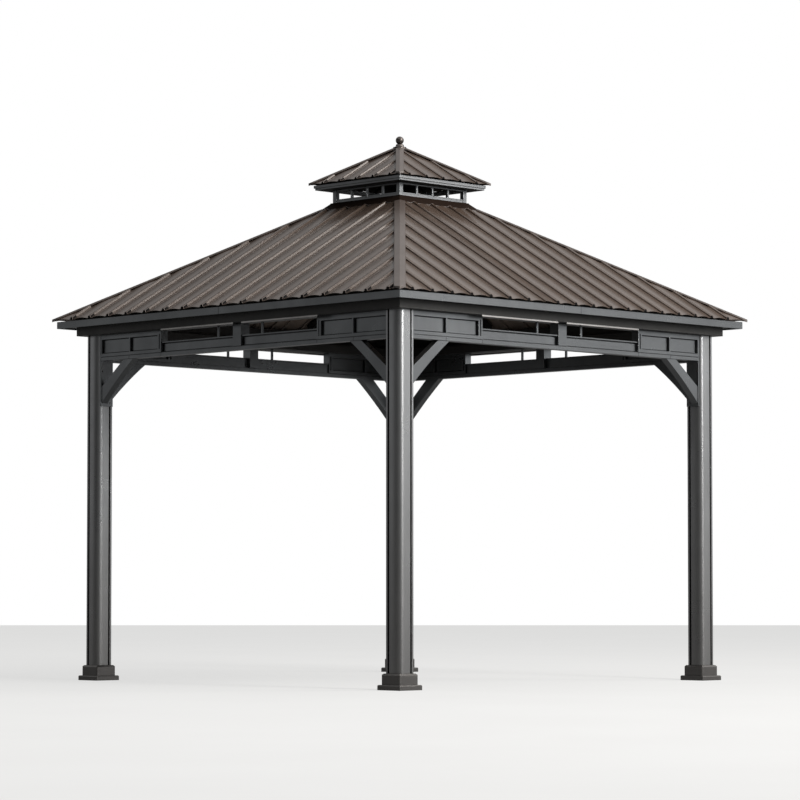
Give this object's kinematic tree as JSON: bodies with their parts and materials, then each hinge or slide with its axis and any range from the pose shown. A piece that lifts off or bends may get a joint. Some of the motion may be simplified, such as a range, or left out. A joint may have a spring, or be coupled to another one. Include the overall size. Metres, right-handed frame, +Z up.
{
  "type": "metal gazebo",
  "caption": "Square free-standing metal gazebo with an openwork frieze, knee braces and a ribbed hip roof topped by a vented cupola and ball finial",
  "frame": {"origin": "on the floor under the middle of the roof, at the bottom centre of the bounding box", "axes": "+Z up, front is -Y, right is +X; the faces are square to the axes"},
  "size_m": [3.362, 3.362, 3.7177],
  "materials": {
    "frame_paint": "satin dark grey powder coat",
    "dark_paint": "satin near-black powder coat",
    "base_paint": "satin dark warm grey powder coat",
    "roof_paint": "satin brown coated steel sheet",
    "skirt_paint": "satin dark brown coated steel sheet"
  },
  "bodies": {
    "root": {"post_front_left": "frame_paint", "post_front_right": "frame_paint", "post_back_right": "frame_paint", "post_back_left": "frame_paint", "base_cover_front_left": "base_paint", "base_cover_front_right": "base_paint", "base_cover_back_right": "base_paint", "base_cover_back_left": "base_paint", "knee_braces_front_left": "frame_paint", "knee_braces_front_right": "frame_paint", "knee_braces_back_right": "frame_paint", "knee_braces_back_left": "frame_paint", "frieze_beam_front": "frame_paint", "frieze_beam_right": "frame_paint", "frieze_beam_back": "frame_paint", "frieze_beam_left": "frame_paint", "frieze_panels_front": "frame_paint", "frieze_panels_right": "frame_paint", "frieze_panels_back": "frame_paint", "frieze_panels_left": "frame_paint", "frieze_uprights": "frame_paint", "eave_beam_front": "dark_paint", "eave_beam_right": "dark_paint", "eave_beam_back": "dark_paint", "eave_beam_left": "dark_paint", "fascia_front": "frame_paint", "fascia_right": "frame_paint", "fascia_back": "frame_paint", "fascia_left": "frame_paint", "roof_sheet_front": "roof_paint", "roof_sheet_right": "roof_paint", "roof_sheet_back": "roof_paint", "roof_sheet_left": "roof_paint", "hip_caps": "roof_paint", "hip_rafters": "dark_paint", "side_rafters": "dark_paint", "purlins": "dark_paint", "cupola_skirt": "skirt_paint", "cupola_rails": "frame_paint", "cupola_bars": "frame_paint", "upper_fascia": "frame_paint", "upper_roof": "roof_paint", "upper_hip_caps": "roof_paint", "finial": "frame_paint"}
  },
  "joints": []
}
